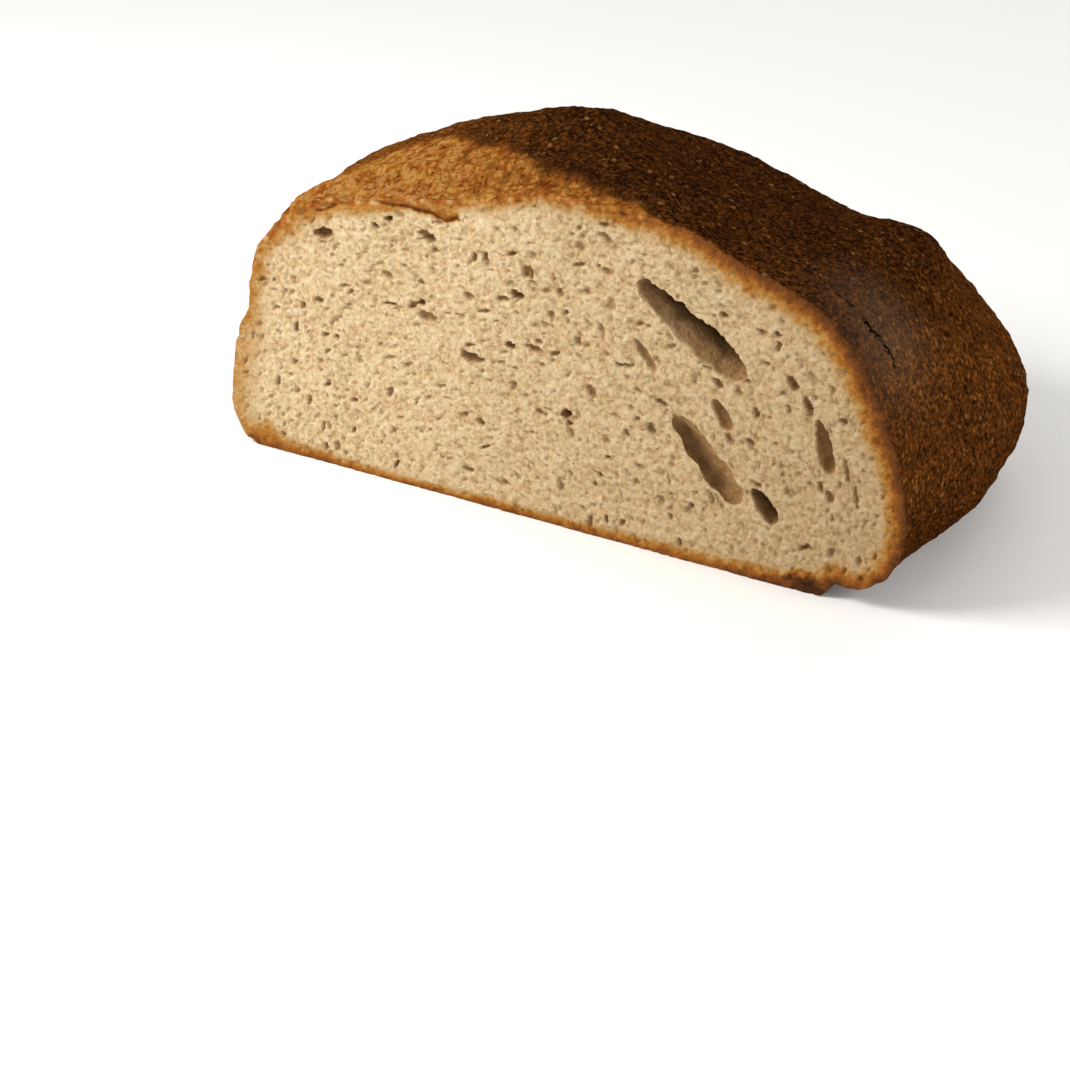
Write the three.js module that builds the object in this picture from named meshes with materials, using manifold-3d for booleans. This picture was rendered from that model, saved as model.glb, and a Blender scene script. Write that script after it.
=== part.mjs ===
// Whole wheat hearth loaf, cut across: the part that is left after the first slices.
// Millimetres, +Z up. The cut face looks along -Y, the rounded heel points along +Y,
// and the loaf lies on the flat of its base. One solid: crust and crumb are one piece.
import * as THREE from "three";
import { mergeVertices } from "three/addons/utils/BufferGeometryUtils.js";
import Module from "manifold-3d";

// ---- driving dimensions ----
const loafLength = 111; // from the cut face to the tip of the heel
const waistHeight = 24; // height of the widest line, where the heel's tip lies
const aroundCount = 96; // points round a section
const ringCount = 34; // sections from the cut to the heel
const nearRings = { count: 8, step: 2 }; // the first of them stand close, where the crust is torn
const blendShare = 0.35; // share of the length over which the cut's section fills out
const baseTrim = 0.8; // height at which the underside is trimmed to the flat of the base
const reliefFade = { from: 3, over: 12 }; // heights over which waves and lumps fade in above the base
const heelStart = 70; // beyond this length the crust is taken to face the heel as well

// How each part of a section closes as t goes from 0 at the cut to 1 at the heel's tip:
// (1 - t^rise)^(1/round).
const sideClose = { rise: 6.4, round: 1.75 };
const topClose = { rise: 2.2, round: 1.45 };
const footClose = { rise: 7, round: 2 };

// Outline of the cut, outside the crust, as [x, z], clockwise from the left end of the base.
// It has a fold low on the left flank and a crease where the right flank hangs over the base.
const cutOutline = [
  [-74, 0], [-86, 1.5], [-91, 8], [-91, 17], [-88.5, 31], [-85, 38], [-84, 46],
  [-81, 56], [-73, 66], [-61, 71.5], [-46, 75.2], [-28, 78.2], [-10, 83], [8, 85],
  [26, 82], [44, 77], [58, 72], [68, 64.5], [76, 52], [81.5, 37], [84, 23],
  [81.5, 11.5], [75, 5.5], [68.5, 4.6], [65, 1], [56, 0],
];

// Fullest section, behind the cut: higher at the back left, with a square right shoulder.
const fullOutline = [
  [-66, 0], [-80, 2], [-88, 10], [-90, 22], [-88, 36], [-84.5, 51.5], [-75.5, 67.8],
  [-58, 76.8], [-38, 85.5], [-17, 92.5], [4, 91.4], [24, 84], [42, 76.2], [60, 71],
  [73, 60], [81.5, 48], [88, 34], [89.5, 22], [85.5, 9], [75, 3], [62, 0],
];

// Low swellings and hollows of the crust: centre, radius, height along the surface's own slope.
const lumps = [
  { at: [-9, 32, 93], radius: 7, height: 3.4 }, // blister on the crown
  { at: [60, 62, 66], radius: 13, height: 5 }, // right shoulder
  { at: [74, 72, 48], radius: 15, height: -3.4 }, // hollow under the shoulder
  { at: [26, 44, 85], radius: 16, height: -2 },
  { at: [88, 52, 24], radius: 20, height: 1.2 },
  { at: [46, 90, 52], radius: 20, height: 1.6 },
  { at: [-40, 92, 50], radius: 24, height: 1.8 },
  { at: [-78, 62, 46], radius: 20, height: 1.4 },
  { at: [0, 106, 30], radius: 22, height: -1.5 },
];

// Where the crust burst open along the top left: half an ellipse that the cut goes through.
// Its floor is sunk by a slope that ends inside its edge, and a lip stands up just outside.
const burst = {
  x: -33, halfLength: 56, depth: 11, lowest: 54, fade: 8,
  sunk: 1.4, crag: 0.4, slope: 0.2, lip: 1.1, lipAt: 1.15, lipWidth: 0.14,
};

// Flat holes in the crumb that the knife opened: middle, half length, half width, depth, and
// the turn of the long axis from +X towards +Z in degrees.
const bigHoles = [
  { at: [31.5, 58.6], long: 15.6, wide: 4.3, deep: 12, turn: -33 },
  { at: [36.2, 27.4], long: 12.4, wide: 3.5, deep: 7, turn: -46 },
  { at: [50.6, 19.6], long: 4.4, wide: 2.1, deep: 6, turn: -50 },
  { at: [64.0, 38.0], long: 6.8, wide: 2.3, deep: 4.5, turn: -72 },
  { at: [39.6, 39.8], long: 4.4, wide: 2.2, deep: 3.5, turn: -55 },
  { at: [20.6, 50.2], long: 4.6, wide: 1.6, deep: 2.5, turn: -50 },
  { at: [-62.6, 61.6], long: 3.1, wide: 1.6, deep: 3, turn: 16 },
  { at: [-35.4, 46.6], long: 2.9, wide: 1.3, deep: 3, turn: -8 },
  { at: [-23.6, 38.9], long: 2.9, wide: 1.2, deep: 3.5, turn: -6 },
  { at: [-33.8, 66.4], long: 2.0, wide: 1.1, deep: 3, turn: -4 },
];

// Smaller pores are drawn at random in even cells over the crumb, and keep off its edge.
const smallPores = { cell: 15, long: [1.1, 2.1], wide: [0.7, 1.1], deep: 1.6, edge: 7, seed: 11 };

// Cracks down the right flank, as points [y, z], with their depth.
const cracks = [
  { route: [[9, 69], [15, 64], [20, 57], [25, 49], [29, 44]], deep: 1.3 },
  { route: [[38, 66], [33, 59], [30, 51]], deep: 1.1 },
];

// ---- small helpers ----
const smooth = (t) => t * t * (3 - 2 * t);
const share = (t) => smooth(THREE.MathUtils.clamp(t, 0, 1));
const close = (t, { rise, round }) => Math.max(1 - t ** rise, 0) ** (1 / round);

// A repeatable stream of numbers from 0 to 1.
function randomFrom(seed) {
  let state = seed;
  return () => {
    state = (state * 1664525 + 1013904223) % 4294967296;
    return state / 4294967296;
  };
}

// Even points along a closed smooth curve through an outline's points, turned anticlockwise.
function evenOutline(points) {
  const curve = new THREE.CatmullRomCurve3(
    points.map(([x, z]) => new THREE.Vector3(x, 0, z)), true, "catmullrom", 0.5,
  );
  curve.arcLengthDivisions = 1200;
  const even = curve.getSpacedPoints(aroundCount).slice(0, aroundCount);
  return even.map((p) => new THREE.Vector2(p.x, Math.max(p.z, 0))).reverse();
}

// ---- the loaf's outer form ----
const cutSection = evenOutline(cutOutline);
const fullSection = evenOutline(fullOutline);

// Slow waves of the crust, under a millimetre.
function waves({ x, y, z }) {
  return 0.45 * Math.sin(x / 9 + 0.6 * Math.sin(y / 13)) * Math.sin(y / 11 + 1.3)
    + 0.3 * Math.sin(x / 5.3 + z / 7 + 2) * Math.sin(y / 6.1 + z / 9);
}

// Step of the burst: its floor is sunk and craggy, and the crust stands up as a lip round it.
function burstStep(p) {
  if (p.z < burst.lowest) return 0;
  const out = Math.hypot((p.x - burst.x) / burst.halfLength, p.y / burst.depth);
  const crag = burst.crag * Math.sin(p.x / 2.3 + p.y / 3) * Math.sin(p.x / 4.1 - p.y / 1.7);
  const floor = (crag - burst.sunk) * share((1 - out) / burst.slope);
  const lip = burst.lip * Math.exp(-(((out - burst.lipAt) / burst.lipWidth) ** 2));
  return (floor + lip) * share((p.z - burst.lowest) / burst.fade);
}

// Share of the length at which a ring stands: closer at both ends.
function ringShare(ring) {
  const near = nearRings.count;
  const start = (near * nearRings.step) / loafLength;
  if (ring < near) return (start * ring) / near;
  return start + (1 - start) * Math.sin(((ring - near) / (ringCount - near)) * (Math.PI / 2));
}

// Point of the crust at index i round the section and share t of the length.
function crustPoint(i, t) {
  const fill = share(t / blendShare);
  const flat = cutSection[i].clone().lerp(fullSection[i], fill);
  const rise = flat.y - waistHeight;
  const p = new THREE.Vector3(
    flat.x * close(t, sideClose),
    t * loafLength,
    waistHeight + rise * close(t, rise > 0 ? topClose : footClose),
  );
  const outward = new THREE.Vector3(0.6 * p.x, Math.max(p.y - heelStart, 0), p.z - waistHeight);
  let push = burstStep(p) + waves(p) * share(p.y / reliefFade.over);
  for (const lump of lumps) {
    const away = p.distanceTo(new THREE.Vector3(...lump.at)) / lump.radius;
    push += lump.height * Math.exp(-away * away);
  }
  push *= share((p.z - reliefFade.from) / reliefFade.over);
  return p.addScaledVector(outward.normalize(), push);
}

// Closed skin: a flat cap on the cut, rings of the crust, and a fan to the tip of the heel.
function loafSkin() {
  const places = [];
  const faces = [];
  for (let ring = 0; ring < ringCount; ring++) {
    for (let i = 0; i < aroundCount; i++) {
      const p = crustPoint(i, ringShare(ring));
      places.push(p.x, ring === 0 ? 0 : p.y, p.z);
    }
  }
  const tip = places.length / 3;
  places.push(0, loafLength, waistHeight);
  for (let ring = 0; ring < ringCount - 1; ring++) {
    for (let i = 0; i < aroundCount; i++) {
      const a = ring * aroundCount + i;
      const b = ring * aroundCount + ((i + 1) % aroundCount);
      faces.push(a, a + aroundCount, b, b, a + aroundCount, b + aroundCount);
    }
  }
  const last = (ringCount - 1) * aroundCount;
  for (let i = 0; i < aroundCount; i++) faces.push(last + i, tip, last + ((i + 1) % aroundCount));
  const rim = [];
  for (let i = 0; i < aroundCount; i++) rim.push(new THREE.Vector2(places[3 * i], places[3 * i + 2]));
  for (const [a, b, c] of THREE.ShapeUtils.triangulateShape(rim, [])) faces.push(a, b, c);
  const skin = new THREE.BufferGeometry();
  skin.setAttribute("position", new THREE.Float32BufferAttribute(places, 3));
  skin.setIndex(faces);
  return skin;
}

// ---- cutters ----
// A lumpy flat ball for a hole in the crumb, its middle on the cut face.
function holeCutter({ at, long, wide, deep, turn }, detail, lumpiness) {
  const ball = new THREE.IcosahedronGeometry(1, detail);
  const place = ball.getAttribute("position");
  const p = new THREE.Vector3();
  for (let i = 0; i < place.count; i++) {
    p.fromBufferAttribute(place, i);
    const wobble = 1 + lumpiness * Math.sin(5 * p.x + 3 * at[0]) * Math.sin(4 * p.z + 2 * p.y + at[1]);
    place.setXYZ(i, p.x * wobble, p.y * wobble, p.z * wobble);
  }
  return ball
    .scale(long, deep, wide)
    .rotateY(-THREE.MathUtils.degToRad(turn))
    .translate(at[0], 0, at[1]);
}

// Whether a place on the cut face is crumb that no big hole takes.
function isOpenCrumb(x, z) {
  const edge = smallPores.edge;
  const rim = cutSection.some((q) => Math.hypot(q.x - x, q.y - z) < edge);
  const shape = cutSection.filter((q, i) => {
    const r = cutSection[(i + 1) % aroundCount];
    return q.y > z !== r.y > z && x < q.x + ((z - q.y) * (r.x - q.x)) / (r.y - q.y);
  });
  const taken = bigHoles.some((h) => Math.hypot(h.at[0] - x, h.at[1] - z) < h.long + 2.5);
  return !rim && !taken && shape.length % 2 === 1;
}

function poreList() {
  const random = randomFrom(smallPores.seed);
  const between = ([low, high]) => low + (high - low) * random();
  const found = [];
  for (let x = -82; x < 82; x += smallPores.cell) {
    for (let z = 8; z < 82; z += smallPores.cell) {
      const pore = {
        at: [x + smallPores.cell * random(), z + smallPores.cell * random()],
        long: between(smallPores.long),
        wide: between(smallPores.wide),
        deep: smallPores.deep,
        turn: -60 * random(),
      };
      if (isOpenCrumb(...pore.at)) found.push(pore);
    }
  }
  return found;
}

// The point of the right flank at distance y from the cut and height z.
function flankPoint([y, z]) {
  const all = cutSection.map((_, i) => crustPoint(i, y / loafLength)).filter((p) => p.x > 30);
  return all.reduce((best, p) => (Math.abs(p.z - z) < Math.abs(best.z - z) ? p : best));
}

// A crack: a thin three-sided bar along the crust, sunk to its depth.
function crackCutter({ route, deep }) {
  const points = route.map(flankPoint);
  const bar = new THREE.Shape();
  for (let k = 0; k < 3; k++) {
    const turn = (k / 3) * 2 * Math.PI;
    const [x, y] = [deep * Math.cos(turn), deep * Math.sin(turn)];
    if (k === 0) bar.moveTo(x, y);
    else bar.lineTo(x, y);
  }
  return new THREE.ExtrudeGeometry(bar, {
    extrudePath: new THREE.CatmullRomCurve3(points),
    steps: 4 * route.length,
    bevelEnabled: false,
  });
}

// ---- joining and cutting ----
const wasm = await Module();
wasm.setup();

function solidOf(geometry) {
  geometry.deleteAttribute("normal");
  geometry.deleteAttribute("uv");
  const merged = mergeVertices(geometry, 1e-4);
  return new wasm.Manifold(new wasm.Mesh({
    numProp: 3,
    vertProperties: merged.getAttribute("position").array,
    triVerts: new Uint32Array(merged.index.array),
  }));
}

function geometryOf(solid) {
  const { vertProperties, triVerts } = solid.getMesh();
  const geometry = new THREE.BufferGeometry();
  geometry.setAttribute("position", new THREE.BufferAttribute(vertProperties, 3));
  geometry.setIndex(new THREE.BufferAttribute(triVerts, 1));
  return geometry;
}

const underside = new THREE.BoxGeometry(400, 400, 20).translate(0, 0, baseTrim - 10);
const cutters = [
  underside,
  ...bigHoles.map((hole) => holeCutter(hole, hole.long > 10 ? 5 : 3, 0.08)),
  ...poreList().map((pore) => holeCutter(pore, 1, 0)),
  ...cracks.map(crackCutter),
];
const loafSolid = cutters.reduce((body, cutter) => body.subtract(solidOf(cutter)), solidOf(loafSkin()));

// ---- the part ----
const loafGeometry = geometryOf(loafSolid);
loafGeometry.computeBoundingBox();
const { min, max } = loafGeometry.boundingBox;
loafGeometry.computeVertexNormals();

const crust = new THREE.MeshStandardMaterial({ color: 0x6b3a17, roughness: 0.8, metalness: 0 });
const loaf = new THREE.Mesh(loafGeometry, crust);
loaf.name = "loaf";
loaf.position.set(-(min.x + max.x) / 2, -(min.y + max.y) / 2, -min.z); // origin under its middle

const part = new THREE.Group();
part.add(loaf);
export default part;
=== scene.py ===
import math

import bpy
import numpy as np
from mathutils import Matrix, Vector, kdtree, noise
from mathutils.bvhtree import BVHTree


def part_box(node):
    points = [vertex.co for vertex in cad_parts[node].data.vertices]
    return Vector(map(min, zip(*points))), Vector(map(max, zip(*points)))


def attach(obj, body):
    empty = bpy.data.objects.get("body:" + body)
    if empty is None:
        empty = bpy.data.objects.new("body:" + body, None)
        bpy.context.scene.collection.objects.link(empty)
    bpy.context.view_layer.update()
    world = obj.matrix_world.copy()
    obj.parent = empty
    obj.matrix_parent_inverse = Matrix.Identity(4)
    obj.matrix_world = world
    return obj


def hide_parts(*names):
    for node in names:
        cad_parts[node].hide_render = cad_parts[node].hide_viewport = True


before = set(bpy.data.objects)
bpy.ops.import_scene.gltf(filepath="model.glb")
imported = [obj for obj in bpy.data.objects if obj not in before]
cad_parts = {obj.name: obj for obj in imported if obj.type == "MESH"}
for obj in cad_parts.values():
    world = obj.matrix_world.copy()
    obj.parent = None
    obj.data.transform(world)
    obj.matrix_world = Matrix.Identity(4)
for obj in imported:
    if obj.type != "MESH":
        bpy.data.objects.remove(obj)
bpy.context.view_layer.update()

mm = 0.001
nodeLow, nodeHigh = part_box("loaf")

# The loaf's own measures in mm: x across the cut, y back from the cut, z up from what it lies on.
loafForm = {
    "length": 111,
    "waist": 24,        # height of the widest line, where the heel's tip lies
    "baseTrim": 0.8,    # the underside is flat at this height
    "blend": 0.35,      # share of the length over which the cut's section fills out
    "fadeFrom": 3,      # waves and lumps fade in above the base
    "fadeOver": 12,
    "sideways": 0.6,    # how much the width counts in the direction that they push
    "heelStart": 70,
    "frontLength": 12,  # dough in front of the cut, which the knife takes off
    "sideClose": (6.4, 1.75),   # how the sides, the top and the foot close at the heel
    "topClose": (2.2, 1.45),
    "footClose": (7, 2),
    "cut": [
        (-74, 0), (-86, 1.5), (-91, 8), (-91, 17), (-88.5, 31), (-85, 38), (-84, 46),
        (-81, 56), (-73, 66), (-61, 71.5), (-46, 75.2), (-28, 78.2), (-10, 83), (8, 85),
        (26, 82), (44, 77), (58, 72), (68, 64.5), (76, 52), (81.5, 37), (84, 23),
        (81.5, 11.5), (75, 5.5), (68.5, 4.6), (65, 1), (56, 0)],
    "full": [
        (-66, 0), (-80, 2), (-88, 10), (-90, 22), (-88, 36), (-84.5, 51.5), (-75.5, 67.8),
        (-58, 76.8), (-38, 85.5), (-17, 92.5), (4, 91.4), (24, 84), (42, 76.2), (60, 71),
        (73, 60), (81.5, 48), (88, 34), (89.5, 22), (85.5, 9), (76, 3), (74.5, 0.9), (66, 0)],
    "lumps": [          # centre, radius, height
        ((-9, 32, 93), 7, 3.4), ((60, 62, 66), 13, 5), ((74, 72, 48), 15, -3.4),
        ((26, 44, 85), 16, -2), ((88, 52, 24), 20, 1.2), ((46, 90, 52), 20, 1.6),
        ((-40, 92, 50), 24, 1.8), ((-78, 62, 46), 20, 1.4), ((0, 106, 30), 22, -1.5),
        ((10, 46, 85), 20, -2.8), ((-44, 31, 79), 14, 2.2), ((-72, 26, 68), 12, -1.8)],
}

# Where the crust burst open along the top left: half an ellipse that the cut goes through.
burst = {
    "x": -33, "halfLength": 56, "depth": 11,
    "above": (54, 62),   # the heights between which it fades in
    "sunk": 1.4, "slope": 0.2,
    "crag": 0.4, "cragWaves": ((2.3, 3), (4.1, 1.7)),
    "lip": 1.1, "lipAt": 1.15, "lipWidth": 0.14,
}

# Slow unevenness of the whole crust: a height, and then the lengths of its waves along x and y, in mm.
crustWaves = {"slow": (0.45, 9, 13, 11), "bend": 0.6, "quick": (0.3, 5.3, 7, 6.1, 9), "starts": (1.3, 2)}


def share(t):   # 0 to 1 with soft ends
    t = np.clip(t, 0, 1)
    return t * t * (3 - 2 * t)


def fade(value, start, end):   # 0 at start, 1 at end
    return share((value - start) / (end - start))


def slopeAt(before, p, after, longest=1.5):   # direction of the curve, at most so many times the shorter side
    slope = (after - before) / 2
    side = np.minimum(*(np.linalg.norm(q - p, axis=-1, keepdims=True) for q in (before, after)))
    return slope * np.minimum(1, longest * side / np.linalg.norm(slope, axis=-1, keepdims=True))


def closedOutline(points, steps=60):   # arc share, x and z along a smooth closed curve
    p = np.array(points, float)
    before, after, later = np.roll(p, 1, 0), np.roll(p, -1, 0), np.roll(p, -2, 0)
    s = np.linspace(0, 1, steps, endpoint=False)[None, :, None]
    a, b, c, d = (q[:, None, :] for q in (before, p, after, later))
    leave, arrive = slopeAt(a, b, c), slopeAt(b, c, d)
    curve = (b + leave * s + (3 * (c - b) - 2 * leave - arrive) * s ** 2
             + (2 * (b - c) + leave + arrive) * s ** 3)
    curve = np.vstack([curve.reshape(-1, 2), p[:1]])
    walked = np.concatenate([[0], np.cumsum(np.hypot(*np.diff(curve, axis=0).T))])
    return walked / walked[-1], curve[:, 0], np.maximum(curve[:, 1], 0)


cutLine = closedOutline(loafForm["cut"])
fullLine = closedOutline(loafForm["full"])


def onLine(line, u):
    return np.interp(u, line[0], line[1]), np.interp(u, line[0], line[2])


def closing(t, powers):   # 1 at the cut, 0 at the heel's tip
    rise, rounding = powers
    return np.maximum(1 - np.clip(t, 0, 1) ** rise, 0) ** (1 / rounding)


def burstOut(x, y):   # 0 in the middle of the burst, 1 at its edge
    return np.hypot((x - burst["x"]) / burst["halfLength"], y / burst["depth"])


def burstStep(x, y, z):
    out = burstOut(x, y)
    (fineX, fineY), (coarseX, coarseY) = burst["cragWaves"]
    crag = burst["crag"] * np.sin(x / fineX + y / fineY) * np.sin(x / coarseX - y / coarseY)
    floor = (crag - burst["sunk"]) * share((1 - out) / burst["slope"])
    lip = burst["lip"] * np.exp(-((out - burst["lipAt"]) / burst["lipWidth"]) ** 2)
    return (floor + lip) * fade(z, *burst["above"])


def waves(x, y, z):
    slowHigh, slowX, bendY, slowY = crustWaves["slow"]
    quickHigh, quickX, leanX, quickY, leanY = crustWaves["quick"]
    slowStart, quickStart = crustWaves["starts"]
    bend = crustWaves["bend"] * np.sin(y / bendY)
    slow = slowHigh * np.sin(x / slowX + bend) * np.sin(y / slowY + slowStart)
    return slow + quickHigh * np.sin(x / quickX + z / leanX + quickStart) * np.sin(y / quickY + z / leanY)


def crustPlaces(u, y):   # places on the outside of the crust, u round the section and y along the loaf
    form = loafForm
    t = y / form["length"]
    back = np.maximum(y, 0)
    fill = share(t / form["blend"])
    cutX, cutZ = onLine(cutLine, u)
    fullX, fullZ = onLine(fullLine, u)
    rise = cutZ + (fullZ - cutZ) * fill - form["waist"]
    x = (cutX + (fullX - cutX) * fill) * closing(t, form["sideClose"])
    upper, lower = closing(t, form["topClose"]), closing(t, form["footClose"])
    z = form["waist"] + rise * np.where(rise > 0, upper, lower)
    outward = np.stack([form["sideways"] * x, np.maximum(y - form["heelStart"], 0), z - form["waist"]], -1)
    outward /= np.linalg.norm(outward, axis=-1, keepdims=True) + 1e-9
    push = burstStep(x, back, z) + waves(x, back, z) * share(back / form["fadeOver"])
    for (cx, cy, cz), radius, height in form["lumps"]:
        away = ((x - cx) ** 2 + (back - cy) ** 2 + (z - cz) ** 2) / radius ** 2
        push += height * np.exp(-away)
    push *= share((z - form["fadeFrom"]) / form["fadeOver"])
    return np.stack([x, y, z], -1) + outward * push[..., None]


# The form's frame is set on the CAD node's: same middle in x, cut on the front of its box.
probeRound, probeAlong = np.linspace(0, 1, 300), np.linspace(0, loafForm["length"] - 0.1, 200)
probe = crustPlaces(*np.meshgrid(probeRound, probeAlong))
shift = np.array([
    (nodeLow.x + nodeHigh.x) / 2 / mm - (probe[..., 0].min() + probe[..., 0].max()) / 2,
    nodeLow.y / mm,
    nodeLow.z / mm - loafForm["baseTrim"]])


def readVertices(piece, what):   # the "co" or "normal" of each vertex
    flat = np.empty(len(piece.data.vertices) * 3)
    piece.data.vertices.foreach_get(what, flat)
    return flat.reshape(-1, 3)


def getPlaces(piece):   # a mesh's vertices in the form's mm
    return readVertices(piece, "co") / mm - shift


def setPlaces(piece, places):
    piece.data.vertices.foreach_set("co", ((places + shift) * mm).ravel())
    piece.data.update()


def setActive(piece):
    bpy.ops.object.select_all(action="DESELECT")
    piece.select_set(True)
    bpy.context.view_layer.objects.active = piece


def applyModifier(piece, kind, **settings):
    setActive(piece)
    bpy.ops.object.modifier_add(type=kind)
    modifier = piece.modifiers[-1]
    for name, value in settings.items():
        setattr(modifier, name, value)
    bpy.ops.object.modifier_apply(modifier=modifier.name)


def cutWith(piece, cutter, operation="DIFFERENCE"):
    applyModifier(piece, "BOOLEAN", object=cutter, operation=operation, solver="MANIFOLD")


def setField(piece, name, values):   # a value at each vertex, which a material reads
    field = piece.data.attributes.new(name, "FLOAT", "POINT")
    field.data.foreach_set("value", np.asarray(values, np.float32))


def noiseAt(places, size, seed=0, octaves=2):   # soft noise of about -1 to 1, size in mm
    offset = Vector((13.1 * seed, 7.7 * seed, 3.3 * seed))   # each seed reads another part of the noise
    return np.array([noise.fractal(Vector(p) / size + offset, 1, 2, octaves) for p in places.tolist()])


# The whole outside of the loaf, as fine as the crust is made.
dough = {
    "around": 416,       # faces round the section
    "along": 172,        # faces along the loaf
    "fineUpTo": 15,      # mm behind the cut where the faces are shorter
    "fineFade": 4,
    "fineness": 1.6,
    "frontShare": 1.5,   # what the part in front of the cut takes of the rings
    "baseLines": 0.055,  # share of the faces round that the flat base takes
    "mergeWithin": 0.01,
    "samples": 6000,     # places at which the way along the crust is measured
    "halfWidth": 70,     # round sizes for that measure
    "halfHeight": 50,
}


def lengthSteps():   # grid share to y, so that the rings stand evenly along the crust
    form = loafForm
    t = 1 - (1 - np.linspace(0, 1, dough["samples"])) ** 3
    y = t * form["length"]
    side = dough["halfWidth"] * closing(t, form["sideClose"])
    top = dough["halfHeight"] * closing(t, form["topClose"])
    steps = np.sqrt(np.diff(y) ** 2 + 0.5 * np.diff(side) ** 2 + 0.5 * np.diff(top) ** 2)
    steps *= 1 + (dough["fineness"] - 1) * share((dough["fineUpTo"] - y[1:]) / dough["fineFade"])
    walked = np.concatenate([[0, dough["frontShare"]], dough["frontShare"] + np.cumsum(steps)])
    return walked / walked[-1], np.concatenate([[-form["frontLength"]], y])


def gridShares(piece):   # where each vertex of a new 1 m grid lies in it, 0 to 1 both ways
    return readVertices(piece, "co")[:, :2].T + 0.5


def rolledUp(name, around, along, placesOf):   # a grid rolled round a section and closed at both ends
    bpy.ops.object.select_all(action="DESELECT")
    bpy.ops.mesh.primitive_grid_add(x_subdivisions=around, y_subdivisions=along, size=1)
    skin = bpy.context.object
    skin.name = name
    setPlaces(skin, placesOf(*gridShares(skin)))
    bpy.ops.object.mode_set(mode="EDIT")
    bpy.ops.mesh.select_all(action="SELECT")
    bpy.ops.mesh.remove_doubles(threshold=dough["mergeWithin"] * mm)
    bpy.ops.mesh.select_all(action="DESELECT")
    bpy.ops.mesh.select_non_manifold()
    bpy.ops.mesh.edge_face_add()
    bpy.ops.mesh.select_all(action="SELECT")
    bpy.ops.mesh.normals_make_consistent(inside=False)
    bpy.ops.object.mode_set(mode="OBJECT")
    return skin


def doughPlaces(round01, along01):
    walked, _, height = cutLine
    baseStart = walked[np.argmax((walked > 0.5) & (height < 0.02))]   # where the cut is back on the base
    u = np.interp(round01, [0, 1 - dough["baseLines"], 1], [0, baseStart, 1])
    places = crustPlaces(u, np.interp(along01, *lengthSteps()))
    places[:, 2] = np.maximum(places[:, 2], loafForm["baseTrim"])
    return places


crust = rolledUp("crust", dough["around"], dough["along"], doughPlaces)
print("dough rolled:", len(crust.data.polygons), "faces")

# Relief of the crust, coarse to fine, each pressed in or out along the surface.
crustRelief = [
    {"name": "swells", "pattern": "CLOUDS", "size": 11, "height": 1.1, "where": "skin"},
    {"name": "blisters", "pattern": "VORONOI", "size": 3.6, "height": -0.6, "where": "skin"},
    {"name": "grit", "pattern": "CLOUDS", "size": 2.0, "height": 0.5, "where": "skin"},
    {"name": "tornCrags", "pattern": "CLOUDS", "size": 3.6, "height": 1.8, "where": "burst"},
    {"name": "tornCells", "pattern": "VORONOI", "size": 2.6, "height": 0.9, "where": "burst"},
]
patternMiddle = {"CLOUDS": 0.5, "VORONOI": 0.3}   # the values that leave the surface where it is
reliefShare = {"aboveBase": 0.3, "fadeOver": 5, "lostInBurst": 0.7}   # mm, mm, and what torn skin lacks


def burstShare(p, soft=0.2):   # 1 inside the burst, 0 outside
    inside = share((1 + soft / 2 - burstOut(p[:, 0], np.maximum(p[:, 1], 0))) / soft)
    return inside * fade(p[:, 2], *burst["above"])


def addGroup(piece, name, weights, steps=20):   # steps of weight, enough for relief
    group = piece.vertex_groups.new(name=name)
    for step in range(1, steps + 1):
        chosen = np.nonzero(np.round(weights * steps) == step)[0]
        group.add(chosen.tolist(), step / steps, "REPLACE")


def pressRelief(piece, layer):
    texture = bpy.data.textures.new(layer["name"], layer["pattern"])
    texture.noise_scale = layer["size"] * mm
    applyModifier(piece, "DISPLACE", texture=texture, texture_coords="LOCAL", vertex_group=layer["where"],
                  mid_level=patternMiddle[layer["pattern"]], strength=layer["height"] * mm)


places = getPlaces(crust)
overBase = places[:, 2] - loafForm["baseTrim"] - reliefShare["aboveBase"]
torn = burstShare(places)
addGroup(crust, "skin", share(overBase / reliefShare["fadeOver"]) * (1 - reliefShare["lostInBurst"] * torn))
addGroup(crust, "burst", torn)
for layer in crustRelief:
    pressRelief(crust, layer)
places = getPlaces(crust)
places[:, 2] = np.maximum(places[:, 2], loafForm["baseTrim"])
setPlaces(crust, places)
smoothSkin = BVHTree.FromObject(crust, bpy.context.evaluated_depsgraph_get())
print("crust relief pressed")

# Cracks down the right flank: a thin bar along the crust, sunk to its depth.
cracks = [               # (y, z) along the flank, depth
    ([(9, 71.5), (10.3, 69.3), (10.2, 65.5), (11.4, 61.7), (12.6, 57), (12, 54.5), (13, 51)], 1.6),
    ([(21, 69), (23.5, 66.8), (24.4, 63.8), (25.2, 58.7), (27, 56)], 0.7),
    ([(22.8, 49.5), (24, 46), (25.1, 43.1)], 0.7),
    ([(33, 60), (34, 56), (36, 53)], 0.6),
]
crackBar = {
    "around": 4, "stepsPerPlace": 7, "jitter": 0.25, "seed": 3,
    "search": (0.35, 0.72, 2000),   # the part of the section that holds the right flank
    "rightOf": 30,
    "blunt": 0.03, "taper": 0.5,    # its ends
    "uneven": (0.6, 1.1),
    "narrow": 0.55,                 # its width along the loaf, by its depth
}


def flankPlace(y, z):
    u = np.linspace(*crackBar["search"])
    line = crustPlaces(u, np.full_like(u, y))
    line = line[line[:, 0] > crackBar["rightOf"]]
    return line[np.argmin(np.abs(line[:, 2] - z))]


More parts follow.
